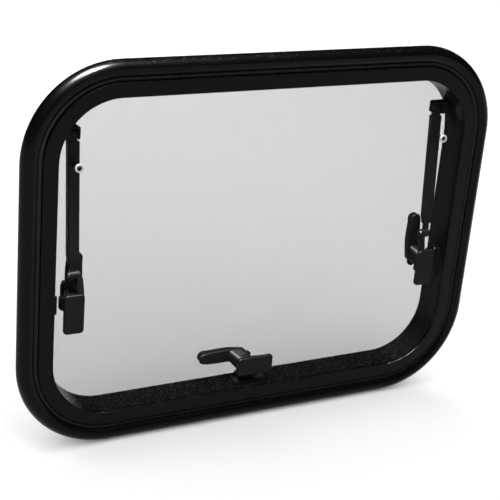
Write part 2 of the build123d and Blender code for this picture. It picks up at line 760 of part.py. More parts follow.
def knob_plane(height):
    """Plane square to the clamp knob's axis at a height above the stay's centre line."""
    return Plane(origin=PIVOT_TOP + ALONG * KNOB_PLACE + ROOMWARD * height, z_dir=ROOMWARD)


def make_stay_tube(side):
    """Outer tube with the eye that turns on the frame bracket's pin."""
    eye_left = -STAY_X - EYE_WIDTH / 2
    inner = (TUBE_WIDTH - 2 * TUBE_WALL, TUBE_DEPTH - 2 * TUBE_WALL)
    with BuildPart() as tube:
        with BuildSketch(across_stay(TUBE_START)):
            RectangleRounded(TUBE_WIDTH, TUBE_DEPTH, 2.4)
        extrude(amount=TUBE_END - TUBE_START)
        with BuildSketch(beside(PIVOT_TOP, eye_left)):
            Circle(EYE_RADIUS)
            Rectangle(TUBE_START + 1, 2 * EYE_RADIUS - 2, align=(Align.MIN, Align.CENTER))
        extrude(amount=EYE_WIDTH)
        with BuildSketch(across_stay(TUBE_START + 4)):
            RectangleRounded(*inner, 1.0)
        extrude(amount=TUBE_END - TUBE_START - 4, mode=Mode.SUBTRACT)
        with BuildSketch(beside(PIVOT_TOP, eye_left)):
            Circle(PIN_RADIUS + RUNNING_GAP)
        extrude(amount=EYE_WIDTH, mode=Mode.SUBTRACT)
        with BuildSketch(knob_plane(TUBE_DEPTH / 2 - 2 * TUBE_WALL)):
            Circle(KNOB_SHANK_RADIUS + RUNNING_GAP)
        extrude(amount=2.5 * TUBE_WALL, mode=Mode.SUBTRACT)
        mirror_if_right(side)
    finish(tube, f"stay_tube_{side}")


def make_stay_collar(side):
    """Tapered collar that closes the tube round the rod."""
    with BuildPart() as collar:
        with BuildSketch(across_stay(TUBE_END)):
            RectangleRounded(TUBE_WIDTH, TUBE_DEPTH, 2.4)
        with BuildSketch(across_stay(COLLAR_END)):
            RectangleRounded(ROD_WIDTH + 4, ROD_DEPTH + 3, 2.0)
        loft()
        with BuildSketch(across_stay(TUBE_END)):
            Rectangle(ROD_WIDTH + 2 * PANEL_GAP, ROD_DEPTH + 2 * PANEL_GAP)
        extrude(amount=COLLAR_END - TUBE_END, mode=Mode.SUBTRACT)
        mirror_if_right(side)
    finish(collar, f"stay_collar_{side}")


def make_stay_rod(side):
    """Sliding rod with its lower eye."""
    eye_left = -STAY_X - EYE_WIDTH / 2
    with BuildPart() as rod:
        with BuildSketch(across_stay(ROD_START)):
            Rectangle(ROD_WIDTH, ROD_DEPTH)
        extrude(amount=STAY_LENGTH - ROD_START - 2)
        with BuildSketch(beside(PIVOT_LOW, eye_left)):
            Circle(EYE_RADIUS)
        extrude(amount=EYE_WIDTH)
        with BuildSketch(beside(PIVOT_LOW, eye_left)):
            Circle(PIN_RADIUS)
        extrude(amount=EYE_WIDTH, mode=Mode.SUBTRACT)
        mirror_if_right(side)
    finish(rod, f"stay_rod_{side}")


def make_stay_slider(side):
    """Plastic slider on the rod's upper end that guides it in the tube."""
    room = PANEL_GAP / 2
    with BuildPart() as slider:
        with BuildSketch(across_stay(ROD_START)):
            Rectangle(TUBE_WIDTH - 2 * TUBE_WALL - 2 * room, TUBE_DEPTH - 2 * TUBE_WALL - 2 * room)
            Rectangle(ROD_WIDTH, ROD_DEPTH, mode=Mode.SUBTRACT)
        extrude(amount=SLIDER_LENGTH)
        long_edges = slider.edges().filter_by(Axis(PIVOT_TOP, ALONG)).sort_by(Axis.X)
        chamfer(long_edges[:2] + long_edges[-2:], 1.2)
        mirror_if_right(side)
    finish(slider, f"stay_slider_{side}")


def make_stay_rivet(side):
    """Rivet in the rod's eye, with its head on the frame's side."""
    with BuildPart() as rivet:
        with BuildSketch(beside(PIVOT_LOW, -STAY_X - EYE_WIDTH / 2)):
            Circle(PIN_RADIUS)
        extrude(amount=EYE_WIDTH)
        with BuildSketch(beside(PIVOT_LOW, -STAY_X - EYE_WIDTH / 2)):
            Circle(PIN_HEAD_RADIUS)
        extrude(amount=-PIN_HEAD_HEIGHT, taper=25)
        mirror_if_right(side)
    finish(rivet, f"stay_rivet_{side}")


def make_ear_pin(side):
    """Pin held in the latch plate's ear, facing the rod's eye."""
    blade_near = -STAY_X + EYE_WIDTH / 2 + EAR_GAP
    with BuildPart() as pin:
        with BuildSketch(beside(PIVOT_LOW, blade_near)):
            Circle(PIN_RADIUS)
        extrude(amount=EAR_BLADE)
        with BuildSketch(beside(PIVOT_LOW, blade_near + EAR_BLADE)):
            Circle(PIN_HEAD_RADIUS)
        extrude(amount=PIN_HEAD_HEIGHT, taper=25)
        mirror_if_right(side)
    finish(pin, f"ear_pin_{side}")


def make_clamp_knob(side):
    """Clamp knob: plastic stem with a threaded end, and a pressed metal disc on top."""
    seat = TUBE_DEPTH / 2 + 0.1
    with BuildPart() as stem:
        with BuildSketch(knob_plane(seat)):
            Circle(KNOB_STEM_RADIUS)
        extrude(amount=KNOB_DISC_BACK - seat)
        with BuildSketch(knob_plane(seat)):
            Circle(KNOB_SHANK_RADIUS)
        extrude(amount=-TUBE_WALL)
        mirror_if_right(side)
    finish(stem, f"knob_stem_{side}")
    with BuildPart() as disc:
        with BuildSketch(knob_plane(KNOB_DISC_BACK)):
            Circle(KNOB_DISC_RADIUS)
        extrude(amount=KNOB_DISC_FRONT - KNOB_DISC_BACK)
        chamfer(disc.edges().filter_by(GeomType.CIRCLE), 0.5)
        with BuildSketch(knob_plane(KNOB_DISC_FRONT)):
            Circle(KNOB_DISC_RADIUS * 0.68)
        extrude(amount=-0.9, mode=Mode.SUBTRACT)
        with BuildSketch(knob_plane(KNOB_DISC_FRONT - 0.9)):
            Rectangle(KNOB_DISC_RADIUS, 0.9)
        extrude(amount=-0.7, mode=Mode.SUBTRACT)
        mirror_if_right(side)
    finish(disc, f"knob_disc_{side}")


def sill_layer(back, front, near, far):
    """Ring-shaped solid that follows the sill's leaning face, between two depths."""
    with BuildPart() as layer:
        with BuildSketch(RING_SECTION):
            with BuildLine():
                Polyline(
                    (sill_inset(back) + near, back),
                    (sill_inset(front) + near, front),
                    (sill_inset(front) + far, front),
                    (sill_inset(back) + far, back),
                    close=True,
                )
            make_face()
        sweep(path=RING_PATH)
    return layer.part


def make_stay_bracket(side):
    """Bracket on the sill whose fork holds the tube's eye from above."""
    y_mid, z_mid = FRAME_PIVOT
    fork_near = -STAY_X - EYE_WIDTH / 2 - EAR_GAP
    fork_far = -STAY_X + EYE_WIDTH / 2 + EAR_GAP
    top = z_mid + BRACKET_HALF_HEIGHT + BRACKET_BRIDGE + 0.5
    bottom = z_mid - BRACKET_HALF_HEIGHT
    room = y_mid - BRACKET_HALF_DEPTH
    plate_width = SILL_EDGE / 2
    with BuildPart() as bracket:
        with BuildSketch(wall_plane(BRACKET_PLATE_ROOM)):
            with Locations((SILL_EDGE - WIDTH / 2 - KEEPER_PLATE, BRACKET_PLATE_BOTTOM)):
                Rectangle(
                    plate_width,
                    BRACKET_PLATE_TOP - BRACKET_PLATE_BOTTOM,
                    align=(Align.MIN, Align.MIN),
                )
        extrude(amount=BRACKET_PLATE_ROOM - BRACKET_PLATE_OUTER)
        add(
            sill_layer(BRACKET_PLATE_ROOM, BRACKET_PLATE_OUTER, SEAT_GAP, KEEPER_PLATE),
            mode=Mode.INTERSECT,
        )
        with BuildSketch(wall_plane(room)):
            with Locations((fork_far + BRACKET_EAR, bottom)):
                Rectangle(WIDTH / 2 + fork_far, top - bottom, align=(Align.MAX, Align.MIN))
        extrude(amount=-2 * BRACKET_HALF_DEPTH + 1)
        fillet(bracket.edges().filter_by(Axis.Y).sort_by(Axis.X)[-2:], 2.5)
        with BuildSketch(wall_plane(room - 1)):
            with Locations((fork_near, bottom - 1)):
                Rectangle(
                    fork_far - fork_near,
                    top - BRACKET_BRIDGE - bottom + 1,
                    align=(Align.MIN, Align.MIN),
                )
        extrude(amount=-2 * BRACKET_HALF_DEPTH - 2, mode=Mode.SUBTRACT)
        add(sill_layer(SILL_TOP, SEAT_FRONT, -CORNER_RADIUS / 2, SEAT_GAP), mode=Mode.SUBTRACT)
        with BuildSketch(Plane.YZ.offset(-STAY_X - 2 * EYE_WIDTH)):
            with Locations(FRAME_PIVOT):
                Circle(PIN_RADIUS)
        extrude(amount=4 * EYE_WIDTH, mode=Mode.SUBTRACT)
        with BuildSketch(*bracket_screw_planes()):
            Circle(SMALL_SCREW_SHANK + RUNNING_GAP)
        extrude(amount=-2 * KEEPER_PLATE, mode=Mode.SUBTRACT)
        mirror_if_right(side)
    finish(bracket, f"stay_bracket_{side}")


def make_bracket_pin(side):
    """Pin of the stay's top pivot, pressed into the bracket."""
    near = -STAY_X - 2 * EYE_WIDTH
    far = -STAY_X + EYE_WIDTH / 2 + EAR_GAP + BRACKET_EAR
    with BuildPart() as pin:
        with BuildSketch(Plane.YZ.offset(near)):
            with Locations(FRAME_PIVOT):
                Circle(PIN_RADIUS)
        extrude(amount=far - near)
        chamfer(pin.edges().filter_by(GeomType.CIRCLE), 0.4)
        mirror_if_right(side)
    finish(pin, f"bracket_pin_{side}")


def make_sill_screws():
    """Screws of the three keepers and the two stay brackets."""
    left = keeper_screw_planes("left")
    keepers = left + keeper_screw_planes("bottom") + [mirrored_plane(plane) for plane in left]
    brackets = bracket_screw_planes()
    brackets += [mirrored_plane(plane) for plane in bracket_screw_planes()]
    reach = KEEPER_PLATE + SILL_THICKNESS + 2
    for planes, name in ((keepers, "keeper_screws"), (brackets, "bracket_screws")):
        screws(planes, SMALL_SCREW_HEAD, SMALL_HEAD_HEIGHT, SMALL_SCREW_SHANK, reach, name)


def make_clamp_screws():
    """Screws in the groove that pull the ring and the frame together through the wall."""
    seats = [
        Plane(origin=point + OUTDOORS * GROOVE_FLOOR, z_dir=-OUTDOORS) for point in CLAMP_POINTS
    ]
    screws(
        seats,
        CLAMP_HEAD_RADIUS,
        CLAMP_HEAD_HEIGHT,
        CLAMP_SHANK_RADIUS,
        CLAMP_SHANK_LENGTH,
        "clamp_screws",
    )


make_clamp_ring()
make_cover_strip()
make_outer_frame()
make_seals()
make_clamp_screws()
make_inner_pane()
make_outer_pane()
make_pane_bond()
make_hinge()
make_hinge_rivets()
make_latch_screws()
make_sill_screws()

for latch_side in ("left", "right", "bottom"):
    make_latch_foot(latch_side)
    make_latch_backing(latch_side)
    make_latch_spindle(latch_side)
    make_latch_lever(latch_side)
    make_latch_washer(latch_side)
    make_latch_plate(latch_side)
    make_keeper(latch_side)

for stay_side in ("left", "right"):
    make_stay_bracket(stay_side)
    make_bracket_pin(stay_side)
    make_stay_tube(stay_side)
    make_stay_collar(stay_side)
    make_stay_rod(stay_side)
    make_stay_slider(stay_side)
    make_stay_rivet(stay_side)
    make_ear_pin(stay_side)
    make_clamp_knob(stay_side)
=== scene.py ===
# %% [markdown]
# # A top-hung camper window
#
# The window has a black frame clamped through a thin wall, a clear double sash that hangs from
# its top edge, two telescopic stays and three finger latches. The solid model fixes every size
# and place. This lesson gives each part its finish, adds the pieces that need softer shapes than
# a solid model has, and sets the light and the camera.

# %% Load the fixed frame
import json
import math

import bmesh
import bpy
from mathutils import Matrix, Vector


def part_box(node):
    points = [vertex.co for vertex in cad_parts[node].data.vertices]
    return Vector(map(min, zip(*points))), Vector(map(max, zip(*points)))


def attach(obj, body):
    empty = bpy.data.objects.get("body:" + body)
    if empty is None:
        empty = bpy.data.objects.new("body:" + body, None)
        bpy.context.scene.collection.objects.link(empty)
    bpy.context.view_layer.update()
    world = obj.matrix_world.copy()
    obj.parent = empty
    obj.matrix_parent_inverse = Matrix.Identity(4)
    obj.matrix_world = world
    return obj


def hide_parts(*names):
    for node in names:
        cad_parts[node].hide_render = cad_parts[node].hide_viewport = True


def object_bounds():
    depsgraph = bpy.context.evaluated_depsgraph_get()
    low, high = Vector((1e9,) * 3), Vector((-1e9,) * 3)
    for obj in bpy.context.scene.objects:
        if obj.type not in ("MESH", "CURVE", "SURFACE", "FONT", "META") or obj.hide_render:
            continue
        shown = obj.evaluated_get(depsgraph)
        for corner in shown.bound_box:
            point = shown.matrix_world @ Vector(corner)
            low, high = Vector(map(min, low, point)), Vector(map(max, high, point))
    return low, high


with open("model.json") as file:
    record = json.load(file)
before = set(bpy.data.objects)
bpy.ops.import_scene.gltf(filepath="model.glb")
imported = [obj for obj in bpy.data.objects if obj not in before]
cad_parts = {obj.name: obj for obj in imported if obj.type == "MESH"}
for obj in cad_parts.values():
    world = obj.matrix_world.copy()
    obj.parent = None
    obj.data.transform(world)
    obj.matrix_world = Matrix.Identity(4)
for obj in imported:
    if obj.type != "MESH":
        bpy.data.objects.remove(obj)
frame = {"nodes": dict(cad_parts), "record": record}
nodes = frame["nodes"]
cad_low, cad_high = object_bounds()
MM = 0.001
print("solid model size in mm", [round(side / MM, 1) for side in cad_high - cad_low])

# %% [markdown]
# ## Sums on sockets
#
# A finish is a little drawing made of nodes. Joining Math nodes by hand hides the sum that they
# do, so a small class wraps a socket and lets Python's own operators add the nodes: writing
# `1 - mask` adds one Subtract node.

# %% Values that take part in sums
class Value:
    """A number that changes over the surface; each operator adds one Math node."""

    def __init__(self, finish, socket):
        self.finish = finish
        self.socket = socket

    def sum(self, operation, first, second):
        made = self.finish.add("ShaderNodeMath", {"operation": operation}, {0: first, 1: second})
        return Value(self.finish, made.outputs[0])

    def __add__(self, other):
        return self.sum("ADD", self, other)

    def __sub__(self, other):
        return self.sum("SUBTRACT", self, other)

    def __mul__(self, other):
        return self.sum("MULTIPLY", self, other)

    def __pow__(self, other):
        return self.sum("POWER", self, other)

    def __gt__(self, other):
        return self.sum("GREATER_THAN", self, other)

    def __radd__(self, other):
        return self.sum("ADD", other, self)

    def __rsub__(self, other):
        return self.sum("SUBTRACT", other, self)

    def __rmul__(self, other):
        return self.sum("MULTIPLY", other, self)


# %% [markdown]
# ## A finish
#
# Every finish here is one Principled shader with a few patterns feeding it. One method adds any
# node: its settings go in first, then numbers or links for its sockets. The patterns read Object
# coordinates, so they keep their real size in metres and don't slide when a part moves.

# %% The class behind all the finishes
class Finish:
    """A procedural material built round a Principled shader."""

    def __init__(self, name, **constants):
        self.material = bpy.data.materials.new(name)
        self.material.use_nodes = True
        self.tree = self.material.node_tree
        self.tree.nodes.clear()
        output = self.add("ShaderNodeOutputMaterial")
        sockets = {key.replace("_", " "): value for key, value in constants.items()}
        self.shader = self.add("ShaderNodeBsdfPrincipled", {}, sockets)
        self.surface = output.inputs["Surface"]
        self.join(self.shader.outputs[0], self.surface)
        self.place = self.add("ShaderNodeTexCoord").outputs["Object"]

    def join(self, source, target):
        self.tree.links.new(source.socket if isinstance(source, Value) else source, target)

    def add(self, kind, settings=None, sockets=None):
        made = self.tree.nodes.new(kind)
        for key, value in (settings or {}).items():
            if key == "stops":
                for stop, (position, grey) in zip(made.color_ramp.elements, value):
                    stop.position = position
                    stop.color = (grey, grey, grey, 1)
            else:
                setattr(made, key, value)
        for key, value in (sockets or {}).items():
            if isinstance(value, (Value, bpy.types.NodeSocket)):
                self.join(value, made.inputs[key])
            else:
                made.inputs[key].default_value = value
        return made

    def stretched(self, scale):
        """Object coordinates scaled along each axis."""
        return self.add("ShaderNodeMapping", {}, {"Vector": self.place, "Scale": scale}).outputs[0]

    def noise(self, size, detail=2.0, stretch=(1, 1, 1)):
        """Soft random pattern; size is how wide its patches are, in metres."""
        sockets = {"Vector": self.stretched(stretch), "Scale": 1 / size, "Detail": detail}
        return Value(self, self.add("ShaderNodeTexNoise", {}, sockets).outputs[0])

    def range(self, value, low, high):
        """Clamps a value's span from low to high into 0 to 1."""
        sockets = {"Value": value, "From Min": low, "From Max": high}
        return Value(self, self.add("ShaderNodeMapRange", {}, sockets).outputs[0])

    def tint(self, mask, plain, marked):
        """Base colour that goes from plain to marked as the mask goes from 0 to 1."""
        mix = self.add("ShaderNodeMix", {"data_type": "RGBA"}, {0: mask, 6: plain, 7: marked})
        self.join(mix.outputs[2], self.shader.inputs["Base Color"])

    def feed(self, socket, value):
        self.join(value, self.shader.inputs[socket])

    def relief(self, height, depth, strength=1.0):
        """Bump from a height map; depth is in metres."""
        sockets = {"Height": height, "Distance": depth, "Strength": strength}
        self.feed("Normal", self.add("ShaderNodeBump", {}, sockets).outputs[0])

    def facing_up(self):
        """How far a surface looks up, where dust settles."""
        normal = self.add("ShaderNodeNewGeometry").outputs["Normal"]
        return Value(self, self.add("ShaderNodeSeparateXYZ", {}, {0: normal}).outputs[2])


def grey(value, warmth=0.0):
    """A grey, a little warm or cool."""
    return (value * (1 + warmth), value, value * (1 - warmth), 1)


# %% [markdown]
# ## Painted frame
#
# The frame is aluminium with a glossy black coat. Paint is never quite flat: it has a fine
# orange-peel ripple, a few rubbed places where it shines differently, and a breath of dust on
# what looks up. The frame and the ring get two copies of this paint in different greys: the
# frame's lighter grey is painted light on its upward-facing sill, and the ring's darker grey is
# painted shade on the bead and band that face the room.

# %% Black paint
def make_frame_paint(name, depth):
    paint = Finish(name, Specular_IOR_Level=0.07)
    rubbed = paint.noise(0.06, 3.0)
    peel = paint.noise(0.0022, 2.0)
    dust = paint.range(paint.facing_up(), 0.55, 1.0) * paint.range(paint.noise(0.004, 6.0), 0.5, 0.75)
    # The base grey differs between the two copies: lighter as painted light on the frame, darker as
    # painted shade on the ring.
    paint.tint(dust * 0.4, grey(depth), grey(depth + 0.02, 0.03))
    paint.feed("Roughness", 0.19 + rubbed * 0.1 + dust * 0.2)
    paint.relief(peel, 0.00004)
    return paint.material


# %% [markdown]
# ## Rubber, foam and glue
#
# Rubber swallows light. It has a dull, slightly mottled face, and the foam tape shows the open
# cells of its cut edge, which a Voronoi pattern gives.

# %% Soft blacks
def make_rubber():
    rubber = Finish("rubber_black", Specular_IOR_Level=0.06)
    mottle = rubber.noise(0.01, 4.0)
    grain = rubber.noise(0.0006, 2.0)
    rubber.tint(rubber.range(mottle, 0.35, 0.7), grey(0.0025), grey(0.006))
    rubber.feed("Roughness", 0.62 + mottle * 0.2)
    rubber.relief(grain, 0.00003)
    return rubber.material


def make_foam():
    foam = Finish("foam_tape", Specular_IOR_Level=0.15, Roughness=0.95)
    cells = foam.add("ShaderNodeTexVoronoi", {}, {"Vector": foam.place, "Scale": 1400})
    depth = Value(foam, cells.outputs["Distance"])
    foam.tint(depth, grey(0.02), grey(0.045))
    foam.relief(depth, 0.0002)
    return foam.material


def make_glue():
    glue = Finish("bond_black", Specular_IOR_Level=0.4)
    swirl = glue.noise(0.003, 3.0)
    glue.tint(swirl, grey(0.006), grey(0.012))
    glue.feed("Roughness", 0.35 + swirl * 0.3)
    return glue.material


# %% [markdown]
# ## Moulded black plastic
#
# The latches and brackets are glass-filled nylon: a satin black with a fine spark-eroded grain,
# which is what keeps fingers from slipping.

# %% Latch plastic
def make_latch_plastic():
    plastic = Finish("latch_black_plastic", Specular_IOR_Level=0.07)
    grain = plastic.noise(0.0005, 1.0)
    flow = plastic.noise(0.02, 4.0, (1, 1, 0.3))
    plastic.tint(plastic.range(flow, 0.3, 0.8), grey(0.0035), grey(0.006))
    plastic.feed("Roughness", 0.42 + flow * 0.14)
    plastic.relief(grain, 0.00003)
    return plastic.material


def make_slider_plastic():
    nylon = Finish("slider_white_nylon", Subsurface_Weight=0.1, Specular_IOR_Level=0.4)
    flow = nylon.noise(0.004, 3.0)
    nylon.tint(flow, grey(0.62, 0.02), grey(0.72, 0.03))
    nylon.feed("Roughness", 0.4 + flow * 0.2)
    return nylon.material


# %% [markdown]
# ## Metals
#
# The stay tubes are black anodised, with draw lines along their length. The knob's disc is
# pressed steel with a satin face. The backing plates are zinc plated, and the pins, spindles,
# washers and screws are blackened as well.

# %% Stay, knob and fastener metals
def make_stay_metal():
    stay = Finish("stay_black_anodised", Specular_IOR_Level=0.08)
    lines = stay.noise(0.0012, 3.0, (1, 1, 0.02))
    stay.tint(stay.range(lines, 0.3, 0.75), grey(0.0035), grey(0.007))
    stay.feed("Roughness", 0.34 + lines * 0.16)
    stay.relief(lines, 0.00002)
    return stay.material


def make_zinc():
    zinc = Finish("zinc_plate", Metallic=1.0)
    spangle = zinc.noise(0.003, 4.0)
    zinc.tint(spangle, grey(0.42, -0.01), grey(0.6, 0.01))
    zinc.feed("Roughness", 0.3 + spangle * 0.2)
    return zinc.material


def make_black_screws():
    screw = Finish("screw_black_zinc", Metallic=0.6, Specular_IOR_Level=0.2)
    worn = screw.noise(0.0015, 4.0)
    screw.tint(screw.range(worn, 0.5, 0.8), grey(0.012), grey(0.035))
    screw.feed("Roughness", 0.4 + worn * 0.2)
    return screw.material


def make_knob_metal():
    disc = Finish("knob_grey_metal", Metallic=0.35, Specular_IOR_Level=0.5)
    cloud = disc.noise(0.002, 3.0)
    disc.tint(cloud, grey(0.38), grey(0.5))
    disc.feed("Roughness", 0.38 + cloud * 0.15)
    return disc.material


# %% [markdown]
# ## Clear acrylic
#
# A sash skin is a thin clear sheet with a faint grey tint. A bent light path through it costs a
# lot of samples and shifts nothing that the eye would notice, so each face is mostly open, with
# a share of gloss that grows towards grazing angles. Schlick's sum gives that share,
# 0.04 + 0.96 x^5, where x is how edge-on the sheet is seen, from either side.

# %% Sash skins
def make_acrylic(name, tint, share):
    skin = Finish(name, Roughness=0.03, Specular_IOR_Level=0.5, IOR=1.49)
    clear = skin.add("ShaderNodeBsdfTransparent", {}, {"Color": tint})
    haze = skin.noise(0.05, 4.0)
    skin.tint(haze, grey(share), grey(share * 1.1))
    edge_on = Value(skin, skin.add("ShaderNodeLayerWeight").outputs["Facing"])
    glance = 0.04 + 0.96 * edge_on ** 5
    mixer = skin.add("ShaderNodeMixShader", {}, {0: glance, 1: clear.outputs[0]})
    skin.join(skin.shader.outputs[0], mixer.inputs[2])
    skin.join(mixer.outputs[0], skin.surface)
    return skin.material


# %% Give every node its finish
finishes = {
    # The frame's lighter grey is painted light on its sill; the ring's darker grey is painted shade
    # on the bead and band.
    "frame_black": make_frame_paint("frame_black_paint_painted_light", 0.006),
    "ring_black": make_frame_paint("ring_black_paint_painted_shade", 0.0018),
    "rubber_black": make_rubber(),
    "foam_tape": make_foam(),
    "bond_black": make_glue(),
    "latch_black": make_latch_plastic(),
    "slider_white": make_slider_plastic(),
    "stay_black": make_stay_metal(),
    "steel_zinc": make_zinc(),
    "screw_black": make_black_screws(),
    "knob_grey": make_knob_metal(),
    "acrylic_outer": make_acrylic("acrylic_outer_skin", grey(0.878), 0.01),
    "acrylic_inner": make_acrylic("acrylic_inner_skin", grey(0.878), 0.01),
}
for part in frame["record"]["subparts"]:
    nodes[part["node"]].material_slots[0].material = finishes[part["material_slot"]]

# %% [markdown]
# ## Pieces with softer shapes
#
# A solid model keeps its edges crisp. Four kinds of piece are made as meshes here. Each starts
# from one plain shape, and a few operators do the rest: an extrusion gives it thickness, an inset
# with a rise gives a step, and a bevel rounds an edge. Each piece then rides on the body that it
# belongs to.

# %% Shared steps for the new pieces
record = frame["record"]
joints = {joint["name"]: joint for joint in record["behaviour"]["joints"]}
SHARP_ANGLE = math.radians(40)
TO_ROOM = Matrix.Rotation(math.pi / 2, 4, "X")


def piece_of(name, shape, slot, body, *stands_for):
    """Turns a finished shape into a piece that rides on a body."""
    bmesh.ops.recalc_face_normals(shape, faces=shape.faces)
    mesh = bpy.data.meshes.new(name)
    shape.to_mesh(mesh)
    shape.free()
    mesh.shade_smooth()
    mesh.set_sharp_from_angle(angle=SHARP_ANGLE)
    mesh.materials.append(finishes[slot])
    piece = bpy.data.objects.new(name, mesh)
    bpy.context.collection.objects.link(piece)
    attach(piece, body)
    if stands_for:
        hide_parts(*stands_for)
    print(name, "faces", len(mesh.polygons))
    return piece


def raised(shape, faces, height):
    """Extrudes faces along +Z and gives back the new top faces."""
    made = bmesh.ops.extrude_face_region(shape, geom=faces)["geom"]
    points = [item for item in made if isinstance(item, bmesh.types.BMVert)]
    bmesh.ops.translate(shape, verts=points, vec=(0, 0, height))
    return [item for item in made if isinstance(item, bmesh.types.BMFace)]


def stepped(shape, faces, inset, rise):
    """Insets the faces as one region and lifts what is left."""
    bmesh.ops.inset_region(shape, faces=faces, thickness=inset, use_boundary=True)
    points = {point for face in faces for point in face.verts}
    bmesh.ops.translate(shape, verts=list(points), vec=(0, 0, rise))


def rounded(shape, faces, radius, segments):
    """Rounds the rim of a group of faces."""
    inside = set(faces)
    rim = [edge for face in faces for edge in face.edges if len(inside & set(edge.link_faces)) == 1]
    bmesh.ops.bevel(shape, geom=rim, offset=radius, offset_type="OFFSET", segments=segments,
                    profile=0.5, affect="EDGES", material=-1)


# %% [markdown]
# ## Finger pads
#
# A thumb slides along the top of a lever, so the real moulding is crowned and has no sharp edge.
# A circle is pressed into a superellipse, |x|^n + |y|^n = 1: with n near 4 it is the long shape
# with full corners that the finger has. A few grip ribs cross its tip.

# %% Crowned pads on the levers
PAD_HALF_LENGTH, PAD_HALF_WIDTH, PAD_DEPTH = 32.4 * MM, 8.3 * MM, 1.6 * MM
PAD_BASE, PAD_EDGE = 15.2 * MM, 1.2 * MM
PAD_ALONG, PAD_ACROSS = -26.2 * MM, 8.6 * MM
PAD_POWER = 3.6
PAD_SEGMENTS = 96
EDGE_SEGMENTS = 5
RIB_COUNT, RIB_STEP, RIB_START = 5, 2.6 * MM, 0.82
RIB_WIDTH, RIB_SPAN, RIB_HEIGHT = 0.9 * MM, 1.2 * PAD_HALF_WIDTH, 0.5 * MM
FINGER_SHIFT = {"left": -5.0 * MM, "right": 0.8 * MM, "bottom": 0.0}


def pressed(value):
    """One side of the superellipse for the sine or cosine of its angle."""
    return math.copysign(abs(value) ** (2 / PAD_POWER), value)


def pad_place(side):
    """Where a finger's middle is, and which way it points, from the lever's own joint."""
    x, _, z = joints[f"latch_turn_{side}"]["pos_m"]
    across = PAD_ACROSS + FINGER_SHIFT[side]
    if side == "bottom":
        return Matrix.Translation((x + PAD_ALONG, PAD_BASE, z + across)) @ TO_ROOM
    sideways = across if side == "left" else -across
    upright = TO_ROOM @ Matrix.Rotation(math.pi / 2, 4, "Z")
    return Matrix.Translation((x + sideways, PAD_BASE, z - PAD_ALONG)) @ upright


def make_finger_pad(side):
    shape = bmesh.new()
    bmesh.ops.create_circle(shape, cap_ends=True, segments=PAD_SEGMENTS, radius=1)
    for point in shape.verts:
        point.co.x = pressed(point.co.x) * PAD_HALF_LENGTH
        point.co.y = pressed(point.co.y) * PAD_HALF_WIDTH
    top = raised(shape, list(shape.faces), PAD_DEPTH)
    rounded(shape, top, PAD_EDGE, EDGE_SEGMENTS)
    for rib in range(RIB_COUNT):
        bar = bmesh.ops.create_cube(shape, size=1)["verts"]
        away = PAD_HALF_LENGTH * RIB_START - rib * RIB_STEP
        bmesh.ops.scale(shape, verts=bar, vec=(RIB_WIDTH, RIB_SPAN, RIB_HEIGHT))
        bmesh.ops.translate(shape, verts=bar, vec=(-away, 0, PAD_DEPTH))
    bmesh.ops.transform(shape, matrix=pad_place(side), verts=shape.verts)
    piece_of(f"finger_pad_{side}", shape, "latch_black", f"lever_{side}")


for side in ("left", "right", "bottom"):
    make_finger_pad(side)

# %% [markdown]
# ## Neck of the bottom lever
#
# The bottom finger stands well away from its plate, and a broad sloping neck joins them. A square
# with rounded corners is extruded, and its far end is widened and slid over to the spindle.

# %% Sloping neck
NECK_ROOT = (22 * MM, 15.6 * MM)
NECK_LIFT = 16.2 * MM
NECK_SLIDE = (9.0 * MM, -8.4 * MM)
NECK_SPREAD = (0.95, 1.2, 1)
NECK_PLACE = 17.0 * MM
NECK_CORNER, NECK_EDGE = 5 * MM, 1.0 * MM


def make_neck():
    shape = bmesh.new()
    bmesh.ops.create_grid(shape, x_segments=1, y_segments=1, size=0.5)
    bmesh.ops.scale(shape, verts=shape.verts, vec=(*NECK_ROOT, 1))
    bmesh.ops.bevel(shape, geom=shape.verts[:], offset=NECK_CORNER, offset_type="OFFSET",
                    segments=8, profile=0.5, affect="VERTICES", material=-1)
    head = raised(shape, list(shape.faces), NECK_LIFT)
    points = list({point for face in head for point in face.verts})
    bmesh.ops.scale(shape, verts=points, vec=NECK_SPREAD)
    bmesh.ops.translate(shape, verts=points, vec=(*NECK_SLIDE, 0))
    bmesh.ops.translate(shape, verts=shape.verts, vec=(NECK_PLACE, 0, 0))
    rounded(shape, head, NECK_EDGE, 4)
    bmesh.ops.transform(shape, matrix=pad_place("bottom"), verts=shape.verts)
    piece_of("lever_neck", shape, "latch_black", "lever_bottom")


make_neck()

# %% [markdown]
# ## Rubber strip
#
# The strip that hides the clamp screws runs all round. One square face gets its four corners
# rounded, then is inset again and again, each time a little higher or lower, which draws the
# strip's crowned section. The middle is thrown away and the two open edges are bridged.

# %% Crowned strip in the groove
STRIP_WIDTH = 6.2 * MM
STRIP_CORNER = 95.9 * MM
STRIP_STEPS = 6
CORNER_SEGMENTS = 28


